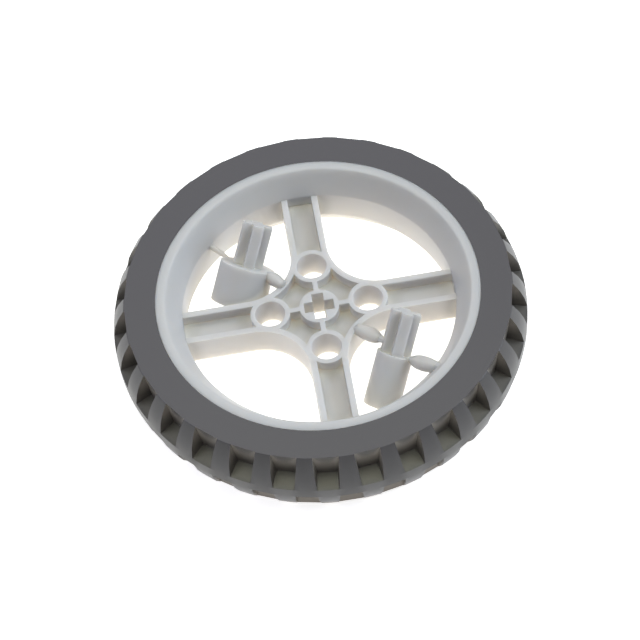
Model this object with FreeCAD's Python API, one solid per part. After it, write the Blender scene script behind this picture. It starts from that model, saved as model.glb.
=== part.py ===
import FreeCAD, Part
import math
import os
from FreeCAD import Vector

# Small robot wheel lying on its side: a rubber tyre with two staggered rows of lugs on a four spoked
# wheel moulding. Two shaft adapters still hang on their moulding gates in opposite openings.
# Millimetres. The origin is the middle of the axle hole, +Z is the axle, +X runs along one spoke.

# Tyre
TYRE_DIAMETER = 67.0
TYRE_WIDTH = 13.6
SHOULDER_DROP = 2.2
SIDEWALL_EDGE = 0.15
LUGS_PER_ROW = 30
LUG_WIDTH_AT_SIDEWALL = 2.4
LUG_WIDTH_AT_CROWN = 3.5
LUG_DOME_RISE = 0.35
LUG_DOME_STEPS = 3
CROWN_BAND_WIDTH = 1.9
POCKET_DEPTH = 2.9
POCKET_MOUTH_STEP = 0.1
POCKET_END_SLOPE = 0.7
TREAD_TURN = -0.5
TYRE_FIT = 0.03

# Rim
SIDEWALL_HEIGHT = 5.2
RIM_WIDTH = 13.6
FLANGE_HEIGHT = 1.1
FLANGE_THICKNESS = 1.3
LIP_WIDTH = 1.55
LIP_TO_LEDGE = 2.45
RIM_EDGE_CHAMFER = 0.25

# Spokes and hub
SPOKE_COUNT = 4
SPOKE_WIDTH = 6.0
SPOKE_DEPTH = 5.4
SPOKE_WALL = 1.0
WEB_THICKNESS = 1.4
HUB_ARC_RADIUS = 8.35
PIN_PITCH_RADIUS = 8.0
PIN_HOLE_DIAMETER = 4.86
PIN_BOSS_DIAMETER = 6.4
AXLE_BOSS_DIAMETER = 6.4
HUB_RIB_THICKNESS = 0.8

# Cross axle fit, shared by the axle hole and the adapter stubs
CROSS_SPAN = 4.76
CROSS_ARM = 1.8
CROSS_CLEARANCE = 0.1

# Shaft adapters, both leaning and turned the same way
STUB_LENGTH = 7.0
STUB_ROOT = 0.5
ADAPTER_HEADING = 57.5
ADAPTER_RISE = 42.5
CROSS_TURN = 24.8
LARGE_BODY_DIAMETER = 9.0
LARGE_BODY_LENGTH = 6.7
LARGE_SHAFT_DIAMETER = 5.5
LARGE_SHAFT_FLATS = 3.8
LARGE_SOCKET_DEPTH = 5.3
LARGE_RIM_GAP = 3.1
LARGE_HEIGHT = 2.65
LARGE_SIDE = 135.0
SMALL_BODY_DIAMETER = 5.9
SMALL_BODY_LENGTH = 8.9
SMALL_SHAFT_DIAMETER = 3.1
SMALL_SHAFT_FLAT = 1.05
SMALL_SOCKET_DEPTH = 7.4
SMALL_RIM_GAP = 4.15
SMALL_HEIGHT = 1.45
SMALL_SIDE = 315.0

# Moulding gates, nearly round: each root is above or below the spoke tops, each tip above or below
# the shoulder of its adapter
LARGE_RIM_GATE_DIAMETER = 0.9
LARGE_RIM_GATE_ROOT = -0.6
LARGE_RIM_GATE_TIP = -1.15
LARGE_HUB_GATE_DIAMETER = 1.3
LARGE_HUB_GATE_ROOT = -0.1
LARGE_HUB_GATE_TIP = 0.45
SMALL_RIM_GATE_DIAMETER = 1.7
SMALL_RIM_GATE_ROOT = 2.0
SMALL_RIM_GATE_TIP = 0.35
SMALL_HUB_GATE_DIAMETER = 1.7
SMALL_HUB_GATE_ROOT = -0.6
SMALL_HUB_GATE_TIP = 2.0
GATE_SIDES = 8
GATE_TAPER_SHARE = 0.25
GATE_TIP_SHARE = 0.45
GATE_BITE = 0.5
GATE_TO_SEAT = 0.9

# How far a cutting shape runs past what it cuts
OVERSHOOT = 1.0

AXIS = Vector(0, 0, 1)
CENTRE = Vector(0, 0, 0)
HALF_WIDTH = RIM_WIDTH / 2
SPOKE_TOP = SPOKE_DEPTH / 2
TYRE_RADIUS = TYRE_DIAMETER / 2
SIDEWALL_RADIUS = TYRE_RADIUS - SHOULDER_DROP
RIM_RADIUS = SIDEWALL_RADIUS - SIDEWALL_HEIGHT
LIP_BORE_RADIUS = RIM_RADIUS - LIP_WIDTH
RIM_BORE_RADIUS = LIP_BORE_RADIUS - LIP_TO_LEDGE
SEAT_RADIUS = RIM_RADIUS - FLANGE_HEIGHT
# The spoke ends stay inside the rim wall
SPOKE_REACH = (RIM_BORE_RADIUS + SEAT_RADIUS) / 2
LARGE_RADIUS = RIM_BORE_RADIUS - LARGE_RIM_GAP - LARGE_BODY_DIAMETER / 2
SMALL_RADIUS = RIM_BORE_RADIUS - SMALL_RIM_GAP - SMALL_BODY_DIAMETER / 2


def polygon_face(points):
    return Part.Face(Part.makePolygon(list(points) + [points[0]]))


def disc(radius, bottom, top, x=0.0, y=0.0):
    return Part.makeCylinder(radius, top - bottom, Vector(x, y, bottom), AXIS)


def chamfered(corners):
    """Profile points from (radius, height, chamfer) corners, each cut back along both its sides."""
    points = [Vector(r, 0, z) for r, z, _ in corners]
    cut = []
    for i, (_, _, chamfer) in enumerate(corners):
        for neighbour in (points[i - 1], points[(i + 1) % len(points)]):
            cut.append(points[i] + (neighbour - points[i]).normalize() * chamfer)
            if chamfer == 0:
                break
    return cut


def mirrored(corners):
    """Upper half of a profile followed by its mirror image below the middle plane."""
    return corners + [(r, -z, chamfer) for r, z, chamfer in reversed(corners)]


def ring(face):
    return face.revolve(CENTRE, AXIS, 360)


def seat_corners(gap):
    """Outside of the rim between its flanges, where the tyre sits, grown by a gap."""
    flange_inside = HALF_WIDTH - FLANGE_THICKNESS - gap
    return [(RIM_RADIUS + gap, flange_inside, 0), (SEAT_RADIUS + gap, flange_inside, 0)]


# Tyre


def tread_profile():
    """Points from the crown band out to the sidewall edge, on a gentle dome."""
    crown = Vector(TYRE_RADIUS, 0, CROWN_BAND_WIDTH / 2)
    chord = Vector(SIDEWALL_RADIUS, 0, TYRE_WIDTH / 2 - SIDEWALL_EDGE) - crown
    outwards = Vector(chord.z, 0, -chord.x).normalize()
    points = []
    for i in range(LUG_DOME_STEPS + 1):
        share = i / LUG_DOME_STEPS
        rise = 4 * LUG_DOME_RISE * share * (1 - share)
        points.append(crown + chord * share + outwards * rise)
    return points


def tyre_blank():
    """Tyre before its pockets are cut: flat sidewalls and a domed tread."""
    top = TYRE_WIDTH / 2
    upper = [(p.x, p.z, 0) for p in tread_profile()]
    upper += [(SIDEWALL_RADIUS - SIDEWALL_EDGE, top, 0), (RIM_RADIUS + TYRE_FIT, top, 0)]
    profile = mirrored(upper + seat_corners(TYRE_FIT))
    return ring(polygon_face([Vector(r, 0, z) for r, z, _ in profile]))


def tread_pocket():
    """Space between two lugs of the upper row, centred on +X and open outwards and upwards."""
    half_pitch = math.pi / LUGS_PER_ROW
    top = TYRE_WIDTH / 2
    low = CROWN_BAND_WIDTH / 2
    floor = TYRE_RADIUS - POCKET_DEPTH
    mouth = SIDEWALL_RADIUS - SIDEWALL_EDGE - POCKET_MOUTH_STEP
    floor_end = low + POCKET_END_SLOPE
    floor_slope = (mouth - floor) / (top - floor_end)
    end_slope = POCKET_END_SLOPE / POCKET_DEPTH
    outline = [(mouth + floor_slope * OVERSHOOT, top + OVERSHOOT),
               (floor, floor_end),
               (TYRE_RADIUS + OVERSHOOT, low - end_slope * OVERSHOOT),
               (TYRE_RADIUS + OVERSHOOT, top + OVERSHOOT)]
    reach = TYRE_DIAMETER * math.tan(half_pitch)
    section = polygon_face([Vector(r, -reach, z) for r, z in outline])
    section = section.extrude(Vector(0, 2 * reach, 0))

    def half_width(radius, height):
        share = (height - low) / (top - low)
        lug = LUG_WIDTH_AT_CROWN + share * (LUG_WIDTH_AT_SIDEWALL - LUG_WIDTH_AT_CROWN)
        return radius * math.tan(half_pitch) - lug / 2 / math.cos(half_pitch)

    bottom = low - OVERSHOOT
    lid = top + 2 * OVERSHOOT
    walls = []
    for radius in (floor - OVERSHOOT, TYRE_RADIUS + 2 * OVERSHOOT):
        corners = []
        for height, side in ((bottom, -1), (bottom, 1), (lid, 1), (lid, -1)):
            corners.append(Vector(radius, side * half_width(radius, height), height))
        walls.append(Part.makePolygon(corners + [corners[0]]))
    return section.common(Part.makeLoft(walls, True, True))


def make_tyre():
    pocket = tread_pocket()
    below = pocket.mirror(CENTRE, AXIS)
    pitch = 360 / LUGS_PER_ROW
    pockets = []
    for i in range(LUGS_PER_ROW):
        upper_pocket = pocket.copy()
        upper_pocket.rotate(CENTRE, AXIS, TREAD_TURN + i * pitch)
        lower_pocket = below.copy()
        lower_pocket.rotate(CENTRE, AXIS, TREAD_TURN + (i + 0.5) * pitch)
        pockets += [upper_pocket, lower_pocket]
    return tyre_blank().cut(pockets)


# Wheel moulding


def make_rim():
    upper = [(RIM_BORE_RADIUS, SPOKE_TOP, RIM_EDGE_CHAMFER),
             (LIP_BORE_RADIUS, HALF_WIDTH, RIM_EDGE_CHAMFER),
             (RIM_RADIUS, HALF_WIDTH, 0)]
    return ring(polygon_face(chamfered(mirrored(upper + seat_corners(0)))))


def spoke_outline(inset, reach, height):
    """Four spokes with rounded corners between them, drawn inwards by an inset."""
    half = SPOKE_WIDTH / 2 - inset
    centre = SPOKE_WIDTH / 2 + HUB_ARC_RADIUS
    radius = HUB_ARC_RADIUS + inset
    near = centre - radius * math.sqrt(0.5)
    edges = []
    for i in range(SPOKE_COUNT):
        turn = FreeCAD.Rotation(AXIS, i * 360 / SPOKE_COUNT)
        tip_low, tip_high, start, middle, end, out = [
            turn.multVec(Vector(x, y, height))
            for x, y in ((reach, -half), (reach, half), (centre, half), (near, near),
                         (half, centre), (half, reach))]
        edges.append(Part.makeLine(tip_low, tip_high))
        edges.append(Part.makeLine(tip_high, start))
        edges.append(Part.Arc(start, middle, end).toShape())
        edges.append(Part.makeLine(end, out))
    return Part.Face(Part.Wire(Part.__sortEdges__(edges)))


def pin_centres():
    for i in range(SPOKE_COUNT):
        angle = 2 * math.pi * i / SPOKE_COUNT
        yield PIN_PITCH_RADIUS * math.cos(angle), PIN_PITCH_RADIUS * math.sin(angle)


def cross_prism(span, arm, bottom, top):
    long_bar = Part.makeBox(span, arm, top - bottom, Vector(-span / 2, -arm / 2, bottom))
    cross_bar = Part.makeBox(arm, span, top - bottom, Vector(-arm / 2, -span / 2, bottom))
    return long_bar.fuse(cross_bar).removeSplitter()


def hub_recess():
    """Hollow above the web, between the outer walls, the bosses and the ribs."""
    floor = WEB_THICKNESS / 2
    top = SPOKE_TOP + OVERSHOOT
    rise = Vector(0, 0, top - floor)
    hollow = spoke_outline(SPOKE_WALL, SPOKE_REACH, floor).extrude(rise)
    kept = [disc(AXLE_BOSS_DIAMETER / 2, floor, top)]
    for x, y in pin_centres():
        kept.append(disc(PIN_BOSS_DIAMETER / 2, floor, top, x, y))
    kept.append(cross_prism(2 * PIN_PITCH_RADIUS, HUB_RIB_THICKNESS, floor, top))
    return hollow.cut(kept)


def make_spokes():
    body = spoke_outline(0, SPOKE_REACH, -SPOKE_TOP).extrude(Vector(0, 0, SPOKE_DEPTH))
    for x, y in pin_centres():
        body = body.fuse(disc(PIN_BOSS_DIAMETER / 2, -SPOKE_TOP, SPOKE_TOP, x, y))
    recess = hub_recess()
    body = body.cut([recess, recess.mirror(CENTRE, AXIS)])
    top = SPOKE_TOP + OVERSHOOT
    holes = [disc(PIN_HOLE_DIAMETER / 2, -top, top, x, y) for x, y in pin_centres()]
    holes.append(cross_prism(CROSS_SPAN + CROSS_CLEARANCE, CROSS_ARM + CROSS_CLEARANCE, -top, top))
    return body.cut(holes)


# Shaft adapters


def adapter_blank(diameter, length):
    """Body below the shoulder and cross stub above it, on +Z with the shoulder at the origin."""
    stub = cross_prism(CROSS_SPAN, CROSS_ARM, -STUB_ROOT, STUB_LENGTH)
    return disc(diameter / 2, -length, 0).fuse(stub)


def socket(diameter, flats, length, depth):
    """Shaft hole in the lower end of a body, between flats at two distances from the axis."""
    low, high = flats
    bottom = -length - OVERSHOOT
    hole = disc(diameter / 2, bottom, depth - length)
    between = Part.makeBox(diameter, high - low, depth + OVERSHOOT, Vector(-diameter / 2, low, bottom))
    return hole.common(between)


def adapter_placement(side, radius, height):
    """Turns +Z to the lean of the adapters and moves the shoulder to its place on a diagonal."""
    heading = math.radians(ADAPTER_HEADING)
    rise = math.radians(ADAPTER_RISE)
    along = Vector(math.cos(rise) * math.cos(heading), math.cos(rise) * math.sin(heading),
                   math.sin(rise))
    across = Vector(math.sin(heading), -math.cos(heading), 0)
    lean = FreeCAD.Rotation(across, along.cross(across), along, "ZXY")
    twist = FreeCAD.Rotation(AXIS, CROSS_TURN)
    angle = math.radians(side)
    place = Vector(radius * math.cos(angle), radius * math.sin(angle), height)
    return FreeCAD.Placement(place, lean.multiply(twist))


def make_large_adapter():
    half = LARGE_SHAFT_FLATS / 2
    body = adapter_blank(LARGE_BODY_DIAMETER, LARGE_BODY_LENGTH)
    body = body.cut(socket(LARGE_SHAFT_DIAMETER, (-half, half), LARGE_BODY_LENGTH,
                           LARGE_SOCKET_DEPTH))
    body.Placement = adapter_placement(LARGE_SIDE, LARGE_RADIUS, LARGE_HEIGHT)
    return body


def make_small_adapter():
    body = adapter_blank(SMALL_BODY_DIAMETER, SMALL_BODY_LENGTH)
    flats = (-SMALL_SHAFT_DIAMETER, SMALL_SHAFT_FLAT)
    body = body.cut(socket(SMALL_SHAFT_DIAMETER, flats, SMALL_BODY_LENGTH, SMALL_SOCKET_DEPTH))
    body.Placement = adapter_placement(SMALL_SIDE, SMALL_RADIUS, SMALL_HEIGHT)
    return body


# Gates


def gate(side, diameter, root, tip):
    """Bar on a diagonal between two (radius, height) places, tapered towards its tip."""
    start = Vector(root[0], 0, root[1])
    reach = Vector(tip[0], 0, tip[1]) - start
    wires = []
    for along, share in ((0, 1), (1 - GATE_TAPER_SHARE, 1), (1, GATE_TIP_SHARE)):
        corners = []
        for i in range(GATE_SIDES):
            angle = 2 * math.pi * (i + 0.5) / GATE_SIDES
            radius = share * diameter / 2
            corners.append(Vector(radius * math.cos(angle), radius * math.sin(angle),
                                  along * reach.Length))
        wires.append(Part.makePolygon(corners + [corners[0]]))
    bar = Part.makeLoft(wires, True, True)
    bar.Placement = FreeCAD.Placement(start, FreeCAD.Rotation(AXIS, reach))
    bar.rotate(CENTRE, AXIS, side)
    return bar


def make_gates():
    """Each adapter hangs on one gate from the rim and one from the hub."""
    hub_radius = (SPOKE_WIDTH / 2 + HUB_ARC_RADIUS) * math.sqrt(2) - HUB_ARC_RADIUS - GATE_BITE
    rim_radius = SEAT_RADIUS - GATE_TO_SEAT
    large = LARGE_BODY_DIAMETER / 2 - GATE_BITE
    small = SMALL_BODY_DIAMETER / 2 - GATE_BITE
    stub = CROSS_SPAN / 2 - GATE_BITE
    return [gate(LARGE_SIDE, LARGE_RIM_GATE_DIAMETER,
                 (rim_radius, SPOKE_TOP + LARGE_RIM_GATE_ROOT),
                 (LARGE_RADIUS + large, LARGE_HEIGHT + LARGE_RIM_GATE_TIP)),
            gate(LARGE_SIDE, LARGE_HUB_GATE_DIAMETER,
                 (hub_radius, SPOKE_TOP + LARGE_HUB_GATE_ROOT),
                 (LARGE_RADIUS - large, LARGE_HEIGHT + LARGE_HUB_GATE_TIP)),
            gate(SMALL_SIDE, SMALL_RIM_GATE_DIAMETER,
                 (rim_radius, SPOKE_TOP + SMALL_RIM_GATE_ROOT),
                 (SMALL_RADIUS + small, SMALL_HEIGHT + SMALL_RIM_GATE_TIP)),
            gate(SMALL_SIDE, SMALL_HUB_GATE_DIAMETER,
                 (hub_radius, SPOKE_TOP + SMALL_HUB_GATE_ROOT),
                 (SMALL_RADIUS - stub, SMALL_HEIGHT + SMALL_HUB_GATE_TIP))]


def make_wheel():
    parts = [make_spokes(), make_large_adapter(), make_small_adapter()] + make_gates()
    return make_rim().fuse(parts).removeSplitter()


def save(shape, name):
    solids = shape.Solids
    if len(solids) != 1 or not shape.isValid():
        raise ValueError(name + " is not one valid solid")
    solids[0].exportStep("parts/" + name + ".step")
    print(name, "volume", round(solids[0].Volume, 1))


os.makedirs("parts", exist_ok=True)
save(make_tyre(), "tyre")
save(make_wheel(), "wheel")
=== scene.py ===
import math

import bmesh
import bpy
from mathutils import Matrix, Vector


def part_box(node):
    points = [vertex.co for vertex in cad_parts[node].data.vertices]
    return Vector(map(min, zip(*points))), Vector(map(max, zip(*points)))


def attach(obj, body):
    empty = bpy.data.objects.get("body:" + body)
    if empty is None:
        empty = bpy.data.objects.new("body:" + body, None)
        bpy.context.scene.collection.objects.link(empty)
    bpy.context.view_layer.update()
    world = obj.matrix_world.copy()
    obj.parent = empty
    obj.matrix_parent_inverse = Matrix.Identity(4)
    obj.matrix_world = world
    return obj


# Small robot wheel lying flat: a lugged rubber tyre on a pale plastic moulding, on a white floor.
# Metres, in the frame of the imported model.

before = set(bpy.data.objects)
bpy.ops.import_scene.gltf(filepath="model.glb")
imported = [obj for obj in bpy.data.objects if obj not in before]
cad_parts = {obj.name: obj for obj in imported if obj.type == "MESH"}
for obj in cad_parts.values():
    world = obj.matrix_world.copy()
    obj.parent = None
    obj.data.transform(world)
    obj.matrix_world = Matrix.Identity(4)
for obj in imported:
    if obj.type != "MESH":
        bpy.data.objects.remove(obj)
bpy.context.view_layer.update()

MM = 0.001
FLOOR_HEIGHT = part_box("tyre")[0].z

# Camera, as the photograph was taken
CAMERA_PLACE = Vector((-13.43, -244.80, 359.06)) * MM
CAMERA_HEADING = -3.11
CAMERA_ELEVATION = 55.777
CAMERA_ROLL = -6.861
CAMERA_LENS = 150.93

# Rounds on the sharp edges
TYRE_ROUND = 0.12 * MM
WHEEL_ROUND = 0.15 * MM
ROUND_SEGMENTS = 2

# Swellings of the moulding gates, in degrees and millimetres: name, diagonal, adapter's end and root
# as (radius, height), and width
GATE_SWELLS = (
    ("small_rim_gate", 315, (18.1, 2.1), (23.7, 4.5), 2.6),
    ("small_hub_gate", 315, (12.4, 3.3), (7.1, 2.1), 2.5),
    ("large_hub_gate", 135, (10.7, 3.1), (7.1, 2.6), 2.3),
)
SWELL_SIDES = 12

# Shares of the width along a swelling, from the adapter's end to the root
SWELL_PROFILE = ((0, 0.45), (0.12, 0.75), (0.30, 1.0), (0.58, 1.0), (0.82, 0.82), (1, 0.66))

# Colours of the rubber: its own colour on open faces, and painted light in enclosed places, with
# painted shade low on the tread and lighter high on it
RUBBER_OPEN = (0.041, 0.040, 0.046)
RUBBER_PAINTED_LOW = (0.085, 0.080, 0.075)
RUBBER_PAINTED_HIGH = (0.210, 0.198, 0.186)

# How far a surface looks for others that enclose it
ENCLOSED_REACH = 3 * MM

# Colour of the plastic, darker and lighter cloud
PLASTIC_TONES = ((0.74, 0.74, 0.75), (0.77, 0.77, 0.78))

# Share of that colour from enclosed to open places: painted light, lighter and warmer, deep in
# holes, and painted shade on the half-enclosed floors
PLASTIC_PAINTED_LIGHT_AND_SHADE = ((0.22, (1, 0.98, 0.92)), (0.42, (0.93, 0.92, 0.88)),
                  (0.65, (0.73, 0.73, 0.73)), (0.95, (0.87, 0.87, 0.88)))

# The floor: warm light that it adds to what it reflects, and how much it glows where it is seen
FLOOR_BOUNCE = (0.95, 0.86, 0.70)
FLOOR_GLOW = 0.8
FLOOR_HALF_SIZE = 2.0

# Soft lamps: name, azimuth, elevation, size in metres, power in watts, colour
LAMPS = (
    ("overhead", 90, 85, 0.8, 3.6, (0.98, 1.0, 0.72)),
    ("high_back", 90, 58, 0.7, 1.4, (0.85, 0.82, 1.0)),
    ("back", 90, 30, 0.7, 0.9, (1.0, 1.0, 1.0)),
    ("right", 0, 35, 0.7, 5.6, (0.78, 0.87, 1.0)),
    ("left", 180, 35, 0.7, 2.0, (0.69, 0.73, 1.0)),
    ("front", 270, 35, 0.7, 0.35, (1.0, 0.85, 1.0)),
)


def make_camera():
    data = bpy.data.cameras.new("camera")
    data.sensor_width = 36
    data.lens = CAMERA_LENS
    data.clip_start = 0.01
    data.clip_end = 100
    camera = bpy.data.objects.new("camera", data)
    turn = Matrix.Rotation(math.radians(CAMERA_HEADING), 4, "Z")
    tilt = Matrix.Rotation(math.radians(90 - CAMERA_ELEVATION), 4, "X")
    roll = Matrix.Rotation(math.radians(CAMERA_ROLL), 4, "Z")
    camera.matrix_world = Matrix.Translation(CAMERA_PLACE) @ turn @ tilt @ roll
    bpy.context.scene.collection.objects.link(camera)
    bpy.context.scene.camera = camera


class Nodes:
    """Short hand for building one material's or world's nodes."""

    def __init__(self, owner):
        owner.use_nodes = True
        self.tree = owner.node_tree
        self.tree.nodes.clear()

    def add(self, kind, settings=None, **inputs):
        node = self.tree.nodes.new(kind)
        for name, value in (settings or {}).items():
            setattr(node, name, value)
        for name, value in inputs.items():
            socket = node.inputs[int(name[1:])] if name[0] == "i" and name[1:].isdigit() else None
            socket = socket or node.inputs[name.replace("_", " ")]
            if isinstance(value, bpy.types.NodeSocket):
                self.tree.links.new(value, socket)
            else:
                socket.default_value = value
        return node

    def ramp(self, factor, stops):
        node = self.add("ShaderNodeValToRGB", Fac=factor)
        elements = node.color_ramp.elements
        while len(elements) < len(stops):
            elements.new(0.5)
        for element, (position, colour) in zip(elements, stops):
            element.position = position
            element.color = (*colour, 1)
        return node.outputs["Color"]

    def multiply(self, first, second):
        return self.add("ShaderNodeMix", {"data_type": "RGBA", "blend_type": "MULTIPLY"}, i0=1.0,
                        i6=first, i7=second).outputs[2]

    def noise(self, vector, scale, detail=4, roughness=0.5):
        return self.add("ShaderNodeTexNoise", Vector=vector, Scale=scale, Detail=detail,
                        Roughness=roughness).outputs["Fac"]


def rubber():
    material = bpy.data.materials.new("rubber")
    n = Nodes(material)
    place = n.add("ShaderNodeTexCoord").outputs["Object"]
    cloud = n.noise(place, 90, 5)
    open_sky = n.add("ShaderNodeAmbientOcclusion", Distance=ENCLOSED_REACH).outputs["AO"]
    height = n.add("ShaderNodeSeparateXYZ", Vector=place).outputs["Z"]
    height = n.add("ShaderNodeMath", {"operation": "ABSOLUTE"}, i0=height).outputs[0]
    height = n.add("ShaderNodeMapRange", Value=height, From_Min=2 * MM, From_Max=6 * MM).outputs[0]
    # Painted light and shade in the pockets: enclosed rubber is painted lighter than open rubber,
    # darker low on the tread and lighter high on it
    painted_pocket_light = n.ramp(height, [(0.15, RUBBER_PAINTED_LOW), (0.75, RUBBER_PAINTED_HIGH)])
    exposed = n.ramp(open_sky, [(0.80, (0, 0, 0)), (0.97, (1, 1, 1))])
    painted_pocket_light = n.add("ShaderNodeMix", {"data_type": "RGBA"}, i0=exposed, i6=painted_pocket_light,
                 i7=(*RUBBER_OPEN, 1)).outputs[2]
    patch = n.ramp(cloud, [(0.3, (0.92, 0.92, 0.92)), (0.7, (1, 1, 1))])
    colour = n.multiply(painted_pocket_light, patch)
    grain = n.noise(place, 2600, 2)
    rough = n.add("ShaderNodeMapRange", Value=cloud, To_Min=0.28, To_Max=0.38).outputs["Result"]
    bump = n.add("ShaderNodeBump", Strength=0.12, Distance=0.02 * MM, Height=grain)
    shader = n.add("ShaderNodeBsdfPrincipled", Base_Color=colour, Roughness=rough,
                   Normal=bump.outputs["Normal"])
    shader.inputs["Specular IOR Level"].default_value = 0.5
    n.add("ShaderNodeOutputMaterial", Surface=shader.outputs["BSDF"])
    return material


def plastic(name, painted_light_gain, clearness):
    """Moulded plastic with painted light and shade by how enclosed a place is; a gain above 1 paints
    the colour paler for the light that comes through thin places, and clearness lets some light
    through.
    """
    material = bpy.data.materials.new(name)
    n = Nodes(material)
    place = n.add("ShaderNodeTexCoord").outputs["Object"]
    cloud = n.noise(place, 60, 4)
    # Painted light: the gain pales the colour
    tones = [tuple(painted_light_gain * part for part in tone) for tone in PLASTIC_TONES]
    colour = n.ramp(cloud, [(0.3, tones[0]), (0.7, tones[1])])
    open_sky = n.add("ShaderNodeAmbientOcclusion", Distance=ENCLOSED_REACH).outputs["AO"]
    # Painted light and shade: deep holes lighter and warmer, half-enclosed floors darker
    painted_light_and_shade = n.ramp(open_sky, PLASTIC_PAINTED_LIGHT_AND_SHADE)
    colour = n.multiply(colour, painted_light_and_shade)
    grain = n.noise(place, 1800, 3)
    rough = n.add("ShaderNodeMapRange", Value=cloud, To_Min=0.36, To_Max=0.46).outputs["Result"]
    bump = n.add("ShaderNodeBump", Strength=0.08, Distance=0.02 * MM, Height=grain)
    shader = n.add("ShaderNodeBsdfPrincipled", Base_Color=colour, Roughness=rough,
                   Normal=bump.outputs["Normal"])
    shader.inputs["Specular IOR Level"].default_value = 0.4
    shader.inputs["Transmission Weight"].default_value = clearness
    shader.inputs["Subsurface Weight"].default_value = 0.85
    shader.inputs["Subsurface Radius"].default_value = (1.0, 0.9, 0.8)
    shader.inputs["Subsurface Scale"].default_value = 2.2 * MM
    n.add("ShaderNodeOutputMaterial", Surface=shader.outputs["BSDF"])
    return material


def gate_swell(name, side, start, end, width, material):
    """Rounded swelling of one moulding gate between two (radius, height) places on a diagonal."""
    angle = math.radians(side)
    ends = []
    for radius, height in (start, end):
        ends.append(Vector((radius * math.cos(angle), radius * math.sin(angle), height)) * MM)
    along = ends[1] - ends[0]
    turn = along.to_track_quat("Z", "Y")
    mesh = bmesh.new()
    rings = []
    for share, size in SWELL_PROFILE:
        ring = []
        for i in range(SWELL_SIDES):
            around = 2 * math.pi * i / SWELL_SIDES
            spoke = Vector((math.cos(around), math.sin(around), 0)) * (size * width / 2 * MM)
            ring.append(mesh.verts.new(ends[0] + along * share + turn @ spoke))
        rings.append(ring)
    for low, high in zip(rings, rings[1:]):
        for i in range(SWELL_SIDES):
            j = (i + 1) % SWELL_SIDES
            mesh.faces.new((low[i], low[j], high[j], high[i]))
    mesh.faces.new(list(reversed(rings[0])))
    mesh.faces.new(rings[-1])
    data = bpy.data.meshes.new(name)
    mesh.to_mesh(data)
    mesh.free()
    piece = bpy.data.objects.new(name, data)
    bpy.context.scene.collection.objects.link(piece)
    dress(piece, material)
    smooth = piece.modifiers.new("smooth", "SUBSURF")
    smooth.levels = 2
    smooth.render_levels = 2
    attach(piece, "root")


def soften_edges(node, width):
    """Small round on each sharp edge, with normals that keep the flat faces flat."""
    weld = node.modifiers.new("weld", "WELD")
    weld.merge_threshold = 0.001 * MM
    bevel = node.modifiers.new("bevel", "BEVEL")
    bevel.width = width
    bevel.segments = ROUND_SEGMENTS
    bevel.limit_method = "ANGLE"
    bevel.angle_limit = math.radians(32)
    bevel.use_clamp_overlap = True
    normals = node.modifiers.new("normals", "WEIGHTED_NORMAL")
    normals.keep_sharp = False
    normals.weight = 60


def dress(node, material):
    node.data.materials.clear()
    node.data.materials.append(material)
    for face in node.data.polygons:
        face.use_smooth = True


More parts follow.
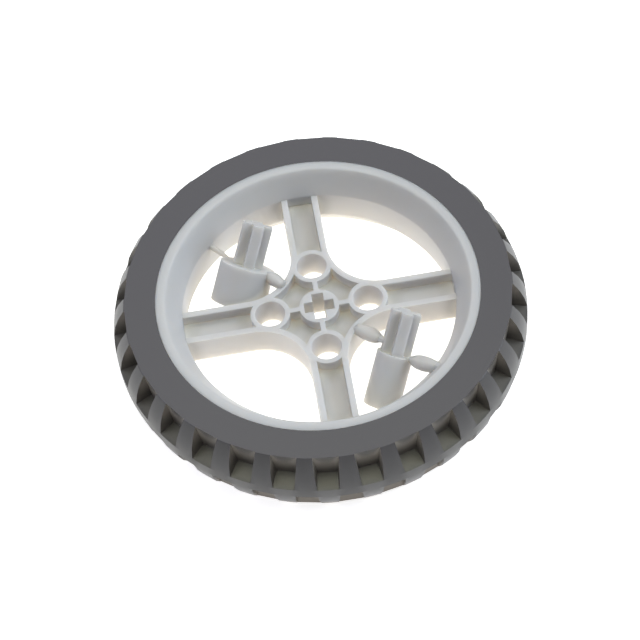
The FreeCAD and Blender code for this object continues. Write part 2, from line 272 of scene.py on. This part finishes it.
def make_floor():
    data = bpy.data.meshes.new("floor")
    half = FLOOR_HALF_SIZE
    corners = [(-half, -half, 0), (half, -half, 0), (half, half, 0), (-half, half, 0)]
    data.from_pydata(corners, [], [(0, 1, 2, 3)])
    floor = bpy.data.objects.new("floor", data)
    floor.location.z = FLOOR_HEIGHT - 0.02 * MM
    bpy.context.scene.collection.objects.link(floor)
    material = bpy.data.materials.new("floor")
    n = Nodes(material)
    path = n.add("ShaderNodeLightPath").outputs
    seen = n.add("ShaderNodeMath", {"operation": "MAXIMUM"}, i0=path["Is Camera Ray"],
                 i1=path["Is Glossy Ray"]).outputs[0]
    seen = n.add("ShaderNodeMath", {"operation": "MAXIMUM"}, i0=seen,
                 i1=path["Is Transmission Ray"]).outputs[0]
    matt = n.add("ShaderNodeBsdfDiffuse", Color=(0.90, 0.90, 0.90, 1)).outputs[0]
    bounce = n.add("ShaderNodeEmission", Color=(*FLOOR_BOUNCE, 1), Strength=1).outputs[0]
    lit = n.add("ShaderNodeAddShader", i0=matt, i1=bounce).outputs[0]
    pale = n.add("ShaderNodeBsdfDiffuse", Color=(0.97, 0.97, 0.97, 1)).outputs[0]
    glow = n.add("ShaderNodeEmission", Color=(1, 1, 1, 1), Strength=FLOOR_GLOW).outputs[0]
    shown = n.add("ShaderNodeAddShader", i0=pale, i1=glow).outputs[0]
    mixed = n.add("ShaderNodeMixShader", Fac=seen, i1=lit, i2=shown).outputs[0]
    n.add("ShaderNodeOutputMaterial", Surface=mixed)
    data.materials.append(material)


def lamp(name, azimuth, elevation, size, power, colour):
    """Round soft light one metre from the object."""
    data = bpy.data.lights.new(name, "AREA")
    data.shape = "DISK"
    data.size = size
    data.energy = power
    data.color = colour
    light = bpy.data.objects.new(name, data)
    flat = math.cos(math.radians(elevation))
    place = Vector((flat * math.cos(math.radians(azimuth)), flat * math.sin(math.radians(azimuth)),
                    math.sin(math.radians(elevation))))
    aim = (-place).to_track_quat("-Z", "Y")
    light.matrix_world = Matrix.Translation(place) @ aim.to_matrix().to_4x4()
    bpy.context.scene.collection.objects.link(light)


def make_world():
    world = bpy.data.worlds.new("studio")
    bpy.context.scene.world = world
    n = Nodes(world)
    path = n.add("ShaderNodeLightPath").outputs
    light = n.add("ShaderNodeBackground", Color=(1, 1, 1, 1), Strength=0.02).outputs[0]
    white = n.add("ShaderNodeBackground", Color=(1, 1, 1, 1), Strength=1).outputs[0]
    seen = n.add("ShaderNodeMath", {"operation": "MAXIMUM"}, i0=path["Is Camera Ray"],
                 i1=path["Is Glossy Ray"]).outputs[0]
    mixed = n.add("ShaderNodeMixShader", Fac=seen, i1=light, i2=white).outputs[0]
    n.add("ShaderNodeOutputWorld", Surface=mixed)


make_camera()
make_world()
make_floor()
for settings in LAMPS:
    lamp(*settings)

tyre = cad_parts["tyre"]
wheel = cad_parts["wheel"]
dress(tyre, rubber())
moulding = plastic("plastic", 1.0, 0.0)
# Thin copy for the gate swellings: painted paler for light through thin plastic, and partly clear
thin_moulding_painted_light = plastic("thin_plastic_painted_light", 1.25, 0.45)
dress(wheel, moulding)
soften_edges(tyre, TYRE_ROUND)
soften_edges(wheel, WHEEL_ROUND)

for name, side, start, end, width in GATE_SWELLS:
    gate_swell(name, side, start, end, width, thin_moulding_painted_light)

bpy.context.scene.view_settings.view_transform = "Standard"
